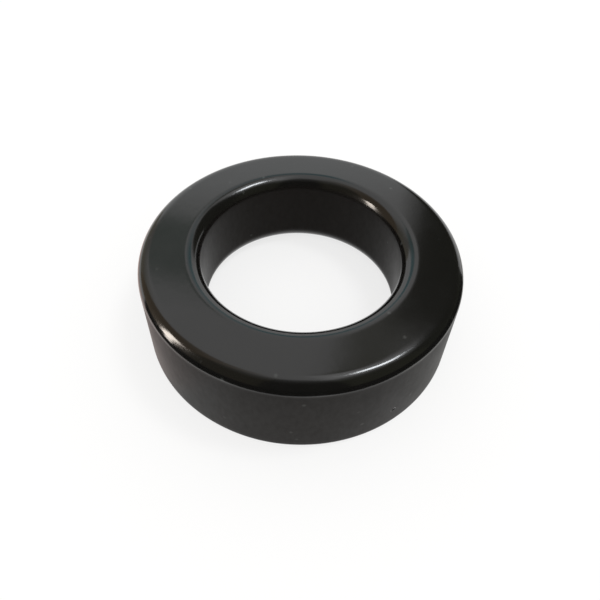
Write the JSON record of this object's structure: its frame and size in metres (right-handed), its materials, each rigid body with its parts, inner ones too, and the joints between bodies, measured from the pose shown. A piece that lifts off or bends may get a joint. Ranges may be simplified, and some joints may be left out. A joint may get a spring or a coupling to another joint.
{
  "type": "toroidal inductor core",
  "caption": "Glossy black epoxy-coated ring core with a wide bore and rounded edges, made to be wound with wire as a toroidal inductor; shown bare, with no winding.",
  "frame": {"origin": "centre of the ring's underside", "axes": "+Z along the bore axis, up from the face that the ring rests on; X and Y are free, because the ring is round"},
  "size_m": [0.0359, 0.0358, 0.0105],
  "materials": {
    "epoxy_coat": "smooth glossy black epoxy coat with a faint flow texture"
  },
  "bodies": {
    "root": {"toroidal_core": "epoxy_coat"}
  },
  "joints": []
}
